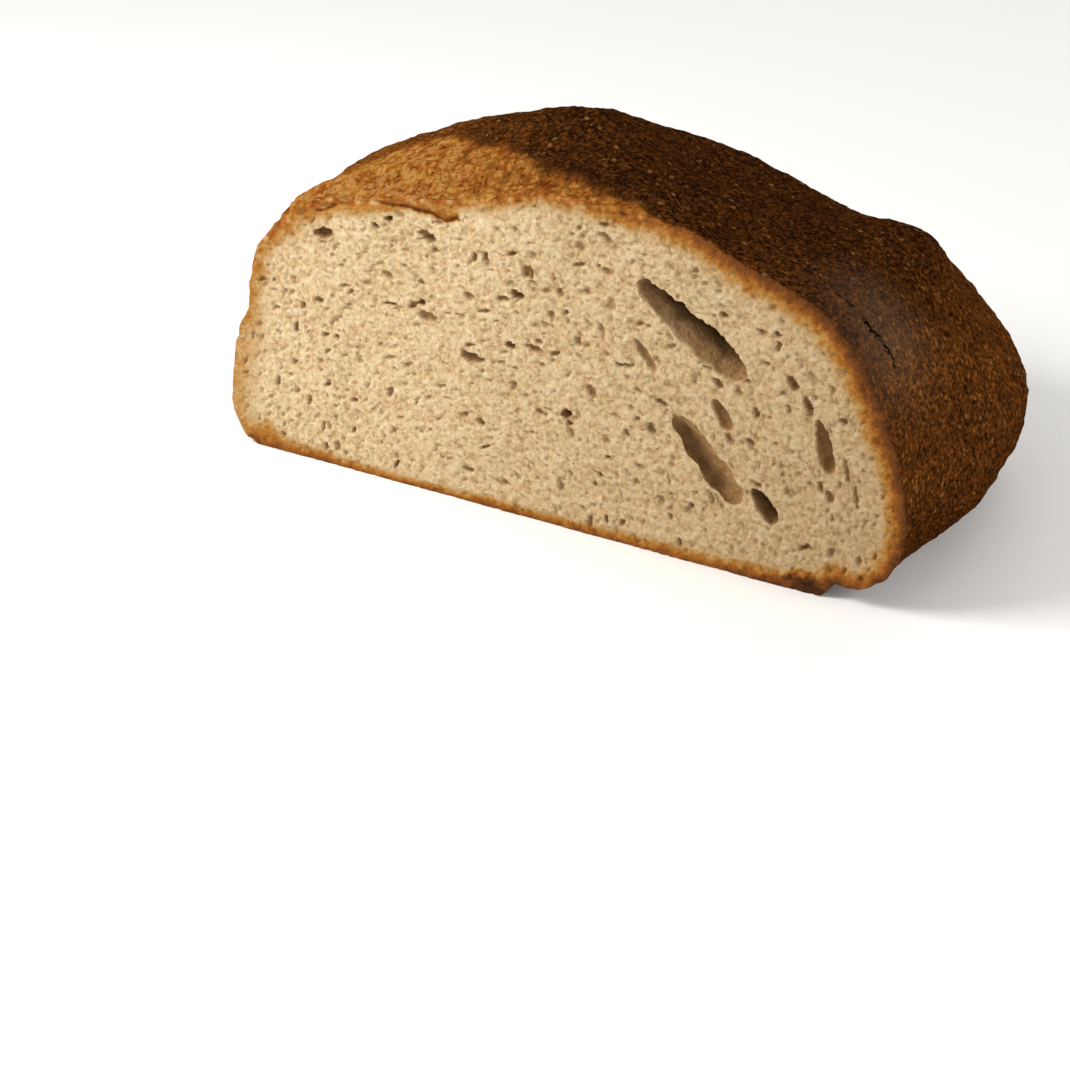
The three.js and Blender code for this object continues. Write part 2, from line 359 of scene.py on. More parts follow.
def barAlong(route, deep):
    random = np.random.default_rng(crackBar["seed"])
    along = crackBar["stepsPerPlace"] * len(route)
    ends = np.array([flankPlace(y, z) for y, z in route])
    steps = np.linspace(0, 1, along + 1)
    middle = np.stack([np.interp(steps, np.linspace(0, 1, len(route)), ends[:, k]) for k in range(3)], -1)
    middle += random.normal(0, crackBar["jitter"], middle.shape)
    blunt = np.clip(steps, crackBar["blunt"], 1 - crackBar["blunt"])
    size = deep * np.sin(np.pi * blunt) ** crackBar["taper"] * random.uniform(*crackBar["uneven"], along + 1)

    def barPlaces(round01, along01):
        ring = np.round(along01 * along).astype(int)
        turn = 2 * np.pi * round01
        offset = np.stack([np.sin(turn), crackBar["narrow"] * np.cos(turn), 0 * turn], -1)
        return middle[ring] + offset * size[ring][:, None]

    return rolledUp("crack", crackBar["around"], along, barPlaces)


for route, deep in cracks:
    bar = barAlong(route, deep)
    cutWith(crust, bar)
    bpy.data.objects.remove(bar)
doughSkin = BVHTree.FromObject(crust, bpy.context.evaluated_depsgraph_get())
print("cracks cut")

# The core is the dough under the crust. It fills the crust, and the crumb is cut from it.
core = {
    "around": 150, "along": 60, "crustThickness": 3.0, "voxel": 2.2,
    "frontBand": 0.5, "pastFront": 3,   # its front end stands out of the crust's
}
crumb = rolledUp("crumb", core["around"], core["along"], doughPlaces)
front = getPlaces(crumb)[:, 1] < core["frontBand"] - loafForm["frontLength"]
places = getPlaces(crumb) - readVertices(crumb, "normal") * core["crustThickness"]
places[front, 1] = -loafForm["frontLength"] - core["pastFront"]
setPlaces(crumb, places)
applyModifier(crumb, "REMESH", mode="VOXEL", voxel_size=core["voxel"] * mm)
cutWith(crumb, crust, "INTERSECT")   # nothing of it stands out of a sharp edge or a crack
cutWith(crust, crumb)
print("crust hollowed:", len(crust.data.polygons), "faces")

# The knife's face carries the open pores of the crumb as relief that reaches into the loaf.
knife = {
    "step": 0.40,        # spacing of its face's vertices
    "low": (-93.2, 0.1),
    "high": (92.8, 95),
    "thick": 20,
    "wave": (0.10, 9),   # unevenness left by the blade, and its size
    "sponge": (0.055, 0.9),   # and by the cell walls
    "least": 0.01,       # how far the crumb stays behind the cut
    "earGroove": (0.8, 0.7),  # depth and width of the fold at the top left
    "seed": 5,
    "ragged": 0.3, "raggedSize": 1.0, "markedRagged": 0.7,   # unevenness of the pores' edges
    "centre": (-20, 0),  # the pores lie along ellipses round this place
    "centreReach": 4,    # and turn no further than they do this far above it
    "flat": 0.64,
    "turnSpread": 0.35,  # radians
    "more": (0.9, 0.4, (-30, 40)),   # their number on the left, what the right has more, and where it grows
    "atRim": (0.35, (0.8, 3.3)),     # share of their depth at the rim, and where it grows
}
poreKinds = [            # cell of the grid that they are drawn in, chance, half length, half width, depth
    {"cell": 1.3, "chance": 0.5, "long": (0.35, 0.7), "wide": (0.28, 0.45), "deep": (0.12, 0.4)},
    {"cell": 2.4, "chance": 0.55, "long": (0.6, 1.3), "wide": (0.36, 0.65), "deep": (0.2, 0.65)},
    {"cell": 6, "chance": 0.4, "long": (1.0, 1.8), "wide": (0.5, 0.85), "deep": (0.5, 1.3)},
]
markedPores = [          # x, z, half length, half width, depth, turn: the ones that catch the eye
    (-62.6, 61.8, 2.4, 1.3, 2.2, 14), (-33.9, 66.6, 1.8, 0.95, 2.8, -4), (-44.5, 69.2, 1.2, 0.65, 2.2, 12),
    (-48.6, 66.8, 1.6, 0.6, 1.4, -25), (-35.5, 46.8, 2.6, 1.3, 1.5, -8), (-36.6, 50.0, 0.8, 0.7, 2.6, 30),
    (-38.6, 49.2, 2.0, 0.35, 1.2, 30), (-23.5, 39.1, 2.7, 1.2, 2.8, -6), (-11.4, 57.5, 1.6, 1.0, 3.0, -15),
    (-15.0, 55.8, 2.0, 0.8, 1.4, 5), (1.1, 30.7, 1.3, 1.1, 3.0, 10), (2.0, 28.6, 0.8, 0.9, 2.0, 60),
    (-6.6, 45.1, 3.0, 0.9, 1.4, -8), (-13.4, 44.6, 1.2, 0.8, 2.2, -10), (-64.6, 44.5, 1.5, 1.0, 1.5, 8),
    (-45.4, 54.9, 1.9, 1.1, 1.1, -30), (-71.5, 36.0, 0.7, 1.5, 1.3, 0), (-60.2, 36.0, 0.8, 0.7, 1.4, 0),
    (-8.0, 63.8, 0.8, 1.5, 1.8, 10), (-22.5, 64.4, 0.8, 1.5, 1.4, -15), (55.8, 52.0, 1.0, 2.4, 1.9, 28),
    (59.8, 47.2, 0.9, 2.4, 1.9, 24), (22.6, 32.4, 0.9, 1.9, 1.4, 24), (47.8, 42.5, 0.8, 1.5, 1.4, 15),
    (69.5, 34.0, 0.6, 3.2, 1.0, 14), (72.0, 28.0, 0.5, 3.0, 0.9, 12), (66.0, 26.5, 0.9, 1.6, 1.2, 8),
    (41.8, 34.5, 0.9, 1.8, 1.1, 40), (-56.0, 20.0, 1.0, 0.8, 1.2, 0), (60.6, 12.0, 1.3, 0.7, 1.4, 20),
    (-19.4, 64.8, 0.8, 1.6, 1.6, 10), (-9.2, 63.6, 1.1, 1.6, 1.6, 15), (-7.7, 67.8, 1.3, 1.2, 0.9, 0),
    (-15.5, 72.0, 1.7, 0.6, 0.9, -38), (-11.7, 73.5, 1.7, 0.6, 0.9, -35), (4.3, 72.6, 1.6, 1.2, 0.9, -20),
    (10.9, 75.8, 2.8, 0.7, 1.0, -30), (11.2, 68.1, 1.5, 1.0, 1.2, 0), (12.3, 60.4, 1.3, 1.6, 0.9, 20),
    (0.9, 56.1, 0.7, 0.7, 1.3, 0), (-2.8, 54.3, 0.9, 1.4, 1.0, 20), (4.0, 49.9, 0.8, 1.6, 1.1, 20),
    (10.0, 54.0, 0.9, 2.0, 1.1, 22), (7.4, 38.0, 1.0, 2.0, 1.2, 25), (-20.0, 51.6, 1.9, 0.5, 1.0, 12),
    (-69.3, 42.0, 0.7, 1.1, 1.3, 0), (-51.2, 51.7, 1.2, 0.9, 0.8, 0), (-36.5, 55.2, 0.8, 0.7, 1.2, 0),
]
earLine = [(-63, 67.5), (-58, 70.2), (-49.2, 72.4), (-41.3, 72.9), (-34, 72.6), (-29.8, 71.3), (-27.2, 72.6)]


def faceGrid():
    x = np.arange(knife["low"][0], knife["high"][0], knife["step"])
    z = np.arange(knife["low"][1], knife["high"][1], knife["step"])
    return x, z


def softField(shape, size, random):   # smooth random field over the knife's face, spread 1
    waveX, waveZ = (np.fft.fftfreq(n, knife["step"]) for n in shape)
    blur = np.pi * size / 2.5   # leaves lumps of about that size
    power = np.exp(-2 * blur ** 2 * (waveX[:, None] ** 2 + waveZ[None, :] ** 2))
    field = np.fft.ifft2(np.fft.fft2(random.standard_normal(shape)) * power).real
    return field / field.std()


def flowTurn(x, z):   # direction of the pores, in radians from +X towards +Z
    centreX, centreZ = knife["centre"]
    return math.atan(-knife["flat"] * (x - centreX) / max(z - centreZ, knife["centreReach"]))


def stampPore(depths, x, z, ragged, pore):   # one pore pressed into the field of depths
    px, pz, long, wide, deep, turn = pore
    reach = 1.5 * max(long, wide) + knife["step"]   # what its ragged edge stays within
    i0, i1 = np.searchsorted(x, (px - reach, px + reach))
    j0, j1 = np.searchsorted(z, (pz - reach, pz + reach))
    if i0 == i1 or j0 == j1:
        return
    dx, dz = (x[i0:i1] - px)[:, None], (z[j0:j1] - pz)[None, :]
    along = dx * math.cos(turn) + dz * math.sin(turn)
    over = dz * math.cos(turn) - dx * math.sin(turn)
    away = (along / long) ** 2 + (over / wide) ** 2 + knife["ragged"] * ragged[i0:i1, j0:j1]
    pit = deep * np.sqrt(np.clip(1 - away, 0, 1))
    depths[i0:i1, j0:j1] = np.maximum(depths[i0:i1, j0:j1], pit)


def distanceTo(places, x, z):   # mm from each place of the face to the nearest of the places
    tree = kdtree.KDTree(len(places))
    for i, (lineX, lineZ) in enumerate(places):
        tree.insert((lineX, lineZ, 0), i)
    tree.balance()
    return np.array([[tree.find((px, pz, 0))[2] for pz in z] for px in x])


def alongEar(count=200):
    ends = np.array(earLine)
    steps = np.linspace(0, len(ends) - 1, count)
    return np.stack([np.interp(steps, range(len(ends)), ends[:, k]) for k in (0, 1)], -1)


def poreDepths():   # depth of the crumb's surface behind the cut, over the knife's face
    random = np.random.default_rng(knife["seed"])
    x, z = faceGrid()
    shape = (len(x), len(z))
    ragged = softField(shape, knife["raggedSize"], random)
    depths = np.zeros(shape)
    left, added, growing = knife["more"]
    for kind in poreKinds:
        for cellX in np.arange(x[0], x[-1], kind["cell"]):
            for cellZ in np.arange(z[0], z[-1], kind["cell"]):
                px, pz = cellX + kind["cell"] * random.random(), cellZ + kind["cell"] * random.random()
                sizes = [random.uniform(*kind[name]) for name in ("long", "wide", "deep")]
                turn = flowTurn(px, pz) + random.normal(0, knife["turnSpread"])
                if random.random() < kind["chance"] * (left + added * fade(px, *growing)):
                    stampPore(depths, x, z, ragged, (px, pz, *sizes, turn))
    atRim, offRim = knife["atRim"]
    rim = distanceTo(list(zip(cutLine[1], cutLine[2])), x, z)
    depths *= atRim + (1 - atRim) * fade(rim, *offRim)
    for px, pz, long, wide, deep, turn in markedPores:
        marked = (px, pz, long, wide, deep, math.radians(turn))
        stampPore(depths, x, z, knife["markedRagged"] * ragged, marked)
    grooveDeep, grooveWide = knife["earGroove"]
    depths += grooveDeep * np.exp(-(distanceTo(alongEar(), x, z) / grooveWide) ** 2)
    for height, size in (knife["sponge"], knife["wave"]):
        depths += height * (2 + softField(shape, size, random))   # the 2 keeps it behind the cut
    return x, z, np.maximum(depths, knife["least"])


def knifeBlade():   # a slab in front of the cut, whose back carries the relief
    x, z, depths = poreDepths()
    bpy.ops.object.select_all(action="DESELECT")
    bpy.ops.mesh.primitive_grid_add(x_subdivisions=len(x) - 1, y_subdivisions=len(z) - 1, size=1)
    blade = bpy.context.object
    blade.name = "blade"
    across, up = gridShares(blade)
    columns = np.round(across * (len(x) - 1)).astype(int)
    rows = np.round(up * (len(z) - 1)).astype(int)
    setPlaces(blade, np.stack([x[columns], depths[columns, rows], z[rows]], -1))
    bpy.ops.object.mode_set(mode="EDIT")
    bpy.ops.mesh.select_all(action="DESELECT")
    bpy.ops.mesh.select_non_manifold()
    bpy.ops.mesh.extrude_region_move(TRANSFORM_OT_translate={"value": (0, -knife["thick"] * mm, 0)})
    bpy.ops.mesh.edge_face_add()
    bpy.ops.mesh.select_all(action="SELECT")
    bpy.ops.mesh.normals_make_consistent(inside=False)
    bpy.ops.object.mode_set(mode="OBJECT")
    return blade


blade = knifeBlade()
cutWith(crust, blade)
cutWith(crumb, blade)
bpy.data.objects.remove(blade)
print("cut face opened:", len(crumb.data.polygons), "faces of crumb")

# Larger holes go deeper than the relief can, so each is a lumpy ball taken out of the crumb.
holes = [                # x, z, half length, half width, depth, turn in degrees, lean of the depth
    (31.8, 58.6, 15.8, 3.9, 12, -33, 0.30), (36.9, 28.5, 12.6, 3.5, 4.2, -47, -0.85),
    (50.8, 20.0, 4.8, 2.2, 11, -50, 0.15), (64.0, 38.2, 6.8, 2.0, 3.6, -74, 0.10),
    (39.8, 40.0, 4.2, 1.8, 2.6, -58, 0.20), (20.8, 50.2, 4.6, 1.2, 1.8, -52, 0),
    (-62.6, 61.8, 2.7, 1.2, 3.6, 14, 0.2), (-23.5, 39.1, 2.6, 1.0, 3.6, -6, 0.2),
]
holeBall = {
    "blunt": 0.72, "widerEnd": 0.16,
    "fineOver": 4,       # a longer hole than this has smaller faces
    "fullRelief": 3,     # half width from which the relief has its full height
}
holeRelief = [
    {"name": "holeLumps", "pattern": "CLOUDS", "size": 3.2, "height": 1.7, "where": ""},
    {"name": "holeGrain", "pattern": "CLOUDS", "size": 1.2, "height": 0.5, "where": ""},
]


def lumpyHole(x, z, long, wide, deep, turn, lean):
    bpy.ops.object.select_all(action="DESELECT")
    bpy.ops.mesh.primitive_ico_sphere_add(subdivisions=5 if long > holeBall["fineOver"] else 4, radius=1)
    ball = bpy.context.object
    along, depth, over = readVertices(ball, "co").T
    along = np.sign(along) * np.abs(along) ** holeBall["blunt"]
    depth = depth * deep
    over = over * wide * (1 + holeBall["widerEnd"] * along) + lean * np.maximum(depth, 0)
    along *= long
    a = math.radians(turn)
    setPlaces(ball, np.stack([x + along * math.cos(a) - over * math.sin(a), depth,
                              z + along * math.sin(a) + over * math.cos(a)], -1))
    for layer in holeRelief:
        pressRelief(ball, {**layer, "height": layer["height"] * min(1, wide / holeBall["fullRelief"])})
    return ball


for hole in holes:
    ball = lumpyHole(*hole)
    cutWith(crumb, ball)
    bpy.data.objects.remove(ball)
print("holes opened:", len(crumb.data.polygons), "faces of crumb")

# How far each place is baked: 0 is plain crumb, 0.3 golden, 0.9 the dark top. A pair of lists runs
# along x, or along z on the left.
browning = {
    "top": ([-60, -45, -30, -12], [0.56, 0.62, 0.74, 0.87]),
    # crack: the tone inside the cracks, set darkest as painted shade
    "flank": 0.70, "flankLow": 0.80, "base": 0.50, "crack": 1.1,
    "left": (0.24, 0.50),           # at the cut and far behind it
    "low": 0.05,                    # how much paler it is just above the base
    "patch": (0.06, 14, 1),         # unevenness, its size and its seed
    "greyPlace": ((70, 14, 61), 16, 0.12),   # a paler, greyer place on the right flank
    "rimTop": (
        [-75, -62, -30, -25, 0, 12, 30, 45, 72],
        [0.28, 0.42, 0.34, 0.21, 0.24, 0.45, 0.47, 0.59, 0.67]),
    "rimLeft": ([5, 30, 45, 62], [0.14, 0.14, 0.20, 0.27]),
    "rimBase": ([-60, 40, 52, 66], [0.46, 0.46, 0.62, 0.62]),
    "rimFoot": 0.24,                # how much paler the rim is low on the right
    "rimDepth": ([-75, -62, -28, -20, 10, 45, 70], [4.1, 2.7, 2.2, 2.9, 2.8, 4.1, 3.9]),
    "rimPower": 1.5,
    "rimLow": (0.81, 0.7),          # how much thinner the rim is low on the right, and along the base
    "leftLow": 1.9,                 # and how much wider low on the left
    "ragged": 0.13, "raggedNoise": (2.2, 4, 3),   # of the rim's depth: size, seed and octaves
    "foot": ((62, 1.5), (7, 4.2), 0.82),   # the dark roll of crust under the cut's right end
    "footRagged": 0.4,              # unevenness of its edge
    "ear": 0.25, "earLine": 0.44,   # above the fold at the top left, and on it
    "earRagged": 0.3, "earAt": -0.3, "earWidth": 1.0,   # mm: unevenness, middle and half width of the fold
    "edge": 0.9, "edgeDarker": 0.08,   # mm over which the rim's tone shows on the outside, and more than it
    "tornReach": (
        [-75, -69, -62, -50, -38, -25, -9, 6, 26, 36, 44],
        [13, 20, 24.5, 25, 23, 19, 11, 5.5, 1, -4, -8]),
    "tornSoft": 7, "tornDepth": 1.5,   # mm over which it ends along the crust, and under it
    "tornRagged": ((1.8, 8, 6), (1.2, 3, 7)),   # unevenness, its size and its seed
    "tornTone": ([-60, -45, -30, 0, 15], [0.05, 0.04, 0.12, 0.22, 0.32]),
    "tornRise": ([-55, -15], [0.07, 0.22]), "riseLeast": 4, "risePower": 1.5,   # browner towards its far edge
    "onSkin": 0.02,                 # mm from the outside that still count as outside
    "deepest": 9,                   # mm under it that browning reaches
    "behind": 14,                   # mm behind the cut up to which the painted shade in the crumb's pores and holes is followed
}
toneFades = {                       # the mm from which a tone fades in, and where it is full
    "flankLow": (40, 10), "top": (50, 70), "low": (12, 2), "base": (1.2, 0.9),
    "leftBack": (0, 40), "leftX": (-56, -72), "leftY": (75, 25), "leftZ": (82, 74),
    "rimLeft": (-70, -78), "rimBaseX": (70, 66), "rimBaseZ": (4, 1.5),
    "rimFootX": (70, 74), "rimFootZ": (12, 4),
    "thinRightX": (60, 66), "thinRightZ": (44, 36), "thinBase": (5, 2),
    "wideLeftX": (-76, -82), "wideLeftZ": (42, 30),
    "torn": (46, 62), "crack": (0, 0.4), "cutFace": (3, 1),
    "ear": (-0.66, -0.06), "earStart": (-67, -64), "earEnd": (-25.5, -27),
}


def fadeIn(value, name):
    return fade(value, *toneFades[name])


def greyPlaceShare(p):
    place, radius, _ = browning["greyPlace"]
    return np.exp(-((p - place) ** 2).sum(-1) / radius ** 2)


def outsideTone(p):
    x, y, z = p.T
    tone = browning["flank"] + (browning["flankLow"] - browning["flank"]) * fadeIn(z, "flankLow")
    tone += (np.interp(x, *browning["top"]) - tone) * fadeIn(z, "top")
    tone -= browning["greyPlace"][2] * greyPlaceShare(p)
    atCut, farBehind = browning["left"]
    leftTone = atCut + (farBehind - atCut) * fadeIn(y, "leftBack")
    tone += (leftTone - tone) * fadeIn(x, "leftX") * fadeIn(z, "leftZ") * fadeIn(y, "leftY")
    tone -= browning["low"] * fadeIn(z, "low")
    tone += (browning["base"] - tone) * fadeIn(z, "base")
    uneven, size, seed = browning["patch"]
    return tone + uneven * noiseAt(p, size, seed)


def rimTone(x, z):
    tone = np.interp(x, *browning["rimTop"])
    tone += (np.interp(z, *browning["rimLeft"]) - tone) * fadeIn(x, "rimLeft")
    tone -= browning["rimFoot"] * fadeIn(z, "rimFootZ") * fadeIn(x, "rimFootX")
    return tone + (np.interp(x, *browning["rimBase"]) - tone) * fadeIn(z, "rimBaseZ") * fadeIn(x, "rimBaseX")


def rimReach(x, z):   # how deep the rim's tone goes into the cut, in mm
    reach = np.interp(x, *browning["rimDepth"])
    onRight, onBase = browning["rimLow"]
    reach *= 1 + (onRight - 1) * fadeIn(z, "thinRightZ") * fadeIn(x, "thinRightX")
    reach *= 1 + (onBase - 1) * fadeIn(z, "thinBase")
    return reach * (1 + (browning["leftLow"] - 1) * fadeIn(z, "wideLeftZ") * fadeIn(x, "wideLeftX"))


def earTone(x, y, z, ragged):   # of the crust above the fold, and along the fold
    over = z + browning["earRagged"] * ragged - np.interp(x, *np.array(earLine).T)
    fold = browning["earLine"] * np.exp(-((over - browning["earAt"]) / browning["earWidth"]) ** 2)
    shown = fadeIn(over, "ear") * fadeIn(x, "earStart") * fadeIn(x, "earEnd") * fadeIn(y, "cutFace")
    return (browning["ear"] + fold) * shown


def footTone(x, y, z, ragged):   # of the roll under the cut's right end
    (footX, footZ), (wide, high), tone = browning["foot"]
    away = ((x - footX) / wide) ** 2 + ((z - footZ) / high) ** 2 + browning["footRagged"] * ragged
    return tone * np.exp(-np.maximum(away, 0) ** 2) * fadeIn(y, "cutFace")


def tornSkin(p):   # share and tone of the golden skin, which reaches past the edge of the burst
    x, y, z = p.T
    reach = np.interp(x, *browning["tornReach"])
    (coarse, *coarseNoise), (fine, *fineNoise) = browning["tornRagged"]
    inside = reach - y + coarse * noiseAt(p, *coarseNoise) + fine * noiseAt(p, *fineNoise)
    torn = share(inside / browning["tornSoft"] + 0.5) * fadeIn(z, "torn")
    back = np.clip(y / np.maximum(reach, browning["riseLeast"]), 0, 1) ** browning["risePower"]
    return torn, np.interp(x, *browning["tornTone"]) + np.interp(x, *browning["tornRise"]) * back


def nearestOn(skin, places):   # for each place the nearest one on a surface, and how far it is, in mm
    found = [skin.find_nearest(Vector(place)) for place in (places + shift) * mm]
    return np.array([hit[0] for hit in found]) / mm - shift, np.array([hit[3] for hit in found]) / mm


def setBrowning(piece):   # the fields that the materials read
    p = getPlaces(piece)
    outside, under = nearestOn(doughSkin, p)
    close = np.nonzero(under < browning["deepest"])[0]
    skin, depth = outside[close], under[close]
    x, y, z = p[close].T
    ragged = noiseAt(p[close], *browning["raggedNoise"])
    rim = rimTone(skin[:, 0], skin[:, 2])
    reach = rimReach(skin[:, 0], skin[:, 2]) * (1 + browning["ragged"] * ragged)
    inside = rim * np.exp(-(depth / reach) ** browning["rimPower"])
    inside = np.maximum(inside, np.maximum(earTone(x, y, z, ragged), footTone(x, y, z, ragged)))
    atEdge = np.exp(-(np.maximum(y, 0) / browning["edge"]) ** 2)
    onSkin = outsideTone(skin)
    onSkin += (rim + browning["edgeDarker"] - onSkin) * atEdge
    _, sunk = nearestOn(smoothSkin, p[close])
    # painted shade: the insides of the cracks are set darkest
    onSkin += (browning["crack"] - onSkin) * fadeIn(sunk, "crack")
    tone, torn, golden = np.zeros((3, len(p)))
    tone[close] = np.where(depth < browning["onSkin"], onSkin, inside)
    torn[close], golden[close] = tornSkin(skin)
    torn[close] *= np.exp(-(depth / browning["tornDepth"]) ** 2)
    behind = np.where(under < browning["onSkin"], 0, np.clip(p[:, 1], 0, browning["behind"]))
    fields = {"baked": tone, "torn": torn, "golden": golden, "floury": greyPlaceShare(p), "behind": behind}
    for name, values in fields.items():
        setField(piece, name, values)


for piece in (crust, crumb):
    setBrowning(piece)
print("browning set")


def linear(hexColour):   # sRGB hex to the linear colour that a shader takes
    parts = [int(hexColour[i:i + 2], 16) / 255 for i in (1, 3, 5)]
    return [c / 12.92 if c < 0.04045 else ((c + 0.055) / 1.055) ** 2.4 for c in parts] + [1]


def addNode(tree, kind, settings={}, links={}, out=0):   # a node with its settings and what feeds it
    node = tree.nodes.new("ShaderNode" + kind)
    for name, value in settings.items():
        if name == "stops":
            while len(node.color_ramp.elements) < len(value):
                node.color_ramp.elements.new(0.5)
            for element, (position, colour) in zip(node.color_ramp.elements, value):
                element.position = position
                element.color = linear(colour)
        elif isinstance(name, str) and hasattr(node, name):
            setattr(node, name, value)
        else:
            node.inputs[name].default_value = value
    for name, source in links.items():
        tree.links.new(source, node.inputs[name])
    return node.outputs[out] if len(node.outputs) else node


def startMaterial(name):
    material = bpy.data.materials.new(name)
    material.use_nodes = True
    material.node_tree.nodes.clear()
    return material, material.node_tree


def across(size):   # a pattern's scale from its size in mm
    return 1 / (size * mm)


def tint(hexColour):   # what a Mix node needs to lay one colour over another
    return {"data_type": "RGBA", 7: linear(hexColour)}


bakedFinish = {          # anything that the oven browned
    "stops": [           # colour of wheat dough by how far it is baked
        (0, "#BC9F76"), (0.08, "#B48E5A"), (0.16, "#AB7D3F"), (0.25, "#A26A2B"), (0.35, "#93581E"),
        (0.45, "#7D481C"), (0.55, "#6A3C16"), (0.65, "#583112"), (0.76, "#4A2A10"), (0.86, "#3D200B"),
        (1, "#221006")],
    "patch": {"Scale": across(3.4), "Detail": 3, "Roughness": 0.6}, "patchSpread": 0.5,
    "tornRagged": 1.2,   # how far the grain moves the edge of the torn skin
    "tornEdge": {"interpolation_type": "SMOOTHSTEP", "From Min": 0.15, "From Max": 0.85},
    "granule": {"Scale": across(2.1)}, "granuleTone": {1: 0.85, 2: -0.29},
    "hue": {"Scale": across(4.5), "Detail": 2},
    "glow": [(0.38, "#B25C20"), (0.50, "#BC7430"), (0.62, "#D0903C")],
    "glowShare": {"From Min": 0.5, "To Max": 0.28},
}


def bakedColour(tree, place, grain, spread, palest):   # how far each place is baked, and its colour
    finish = bakedFinish
    patchSpread = finish["patchSpread"]
    baked = addNode(tree, "Attribute", {"attribute_name": "baked"}, out="Fac")
    torn = addNode(tree, "Attribute", {"attribute_name": "torn"}, out="Fac")
    golden = addNode(tree, "Attribute", {"attribute_name": "golden"}, out="Fac")
    patch = addNode(tree, "TexNoise", finish["patch"], {"Vector": place})
    grainStep = addNode(tree, "Math", {"operation": "MULTIPLY_ADD", 1: spread, 2: -spread / 2}, {0: grain})
    patchStep = addNode(tree, "Math", {"operation": "MULTIPLY_ADD", 1: patchSpread, 2: -patchSpread / 2},
                        {0: patch})
    uneven = addNode(tree, "Math", {"operation": "ADD"}, {0: grainStep, 1: patchStep})
    wobble = addNode(tree, "Math", {"operation": "MULTIPLY_ADD", 1: finish["tornRagged"]},
                     {0: uneven, 2: torn})
    tornPart = addNode(tree, "MapRange", finish["tornEdge"], {"Value": wobble})
    granule = addNode(tree, "TexVoronoi", finish["granule"], {"Vector": place})
    granuleStep = addNode(tree, "Math", {"operation": "MULTIPLY_ADD", **finish["granuleTone"]}, {0: granule})
    tornTone = addNode(tree, "Math", {"operation": "ADD"}, {0: golden, 1: granuleStep})
    tone = addNode(tree, "Mix", {}, {0: tornPart, 2: baked, 3: tornTone})
    tone = addNode(tree, "Math", {"operation": "ADD", "use_clamp": True}, {0: tone, 1: uneven})
    tone = addNode(tree, "Math", {"operation": "MAXIMUM", 1: palest}, {0: tone})
    colour = addNode(tree, "ValToRGB", {"stops": finish["stops"]}, {"Fac": tone})
    hue = addNode(tree, "TexNoise", finish["hue"], {"Vector": place})
    glow = addNode(tree, "ValToRGB", {"stops": finish["glow"]}, {"Fac": hue})
    glowing = addNode(tree, "MapRange", finish["glowShare"], {"Value": tornPart})
    return baked, addNode(tree, "Mix", {"data_type": "RGBA"}, {0: glowing, 6: colour, 7: glow}, out=2)


def branSpecks(tree, place, finish, colour):   # bran, each speck in a cell of its own, over a colour
    bran = addNode(tree, "TexVoronoi", finish["bran"], {"Vector": place})
    picked = addNode(tree, "SeparateColor", {}, {"Color": bran.node.outputs["Color"]})
    size = addNode(tree, "MapRange", finish["branSize"], {"Value": picked})
    speck = addNode(tree, "Math", {"operation": "SUBTRACT", "use_clamp": True}, {0: size, 1: bran})
    speck = addNode(tree, "MapRange", finish["branShare"], {"Value": speck})
    return addNode(tree, "Mix", finish["branTint"], {0: speck, 6: colour}, out=2)


crustFinish = {
    "grain": {"Scale": across(1.0), "Detail": 4, "Roughness": 0.65}, "spread": 1.8, "palest": 0.13,
    "bran": {"Scale": across(2.1)}, "branTint": tint("#8F6436"),
    "branSize": {"From Min": 0.5, "From Max": 1, "To Min": 0, "To Max": 0.34},   # half of the cells hold one
    "branShare": {"From Max": 0.08, "To Max": 0.6},
    "greyishShare": {"From Min": 0.1, "To Max": 0.32}, "flourTint": tint("#6E5B49"),
    "upright": {"Scale": (1, 1, 0.32)},   # its wrinkles stand upright
    "wrinkle": {"Scale": across(1.5), "Detail": 2, "Roughness": 0.5},
    "fold": {"From Min": 0.36, "From Max": 0.5},
    "pebble": {"Scale": across(1.5), "feature": "SMOOTH_F1", "Smoothness": 0.6},
    "foldBump": {"Strength": 0.8, "Distance": 0.5 * mm},
    "pebbleBump": {"Strength": 1, "Distance": 0.8 * mm, "invert": True},
    "grainBump": {"Strength": 1, "Distance": 1.0 * mm},
    "roughness": {"From Min": 0.3, "From Max": 0.7, "To Min": 0.6, "To Max": 0.85},
    "surface": {"IOR": 1.45, "Specular IOR Level": 0.0},
}


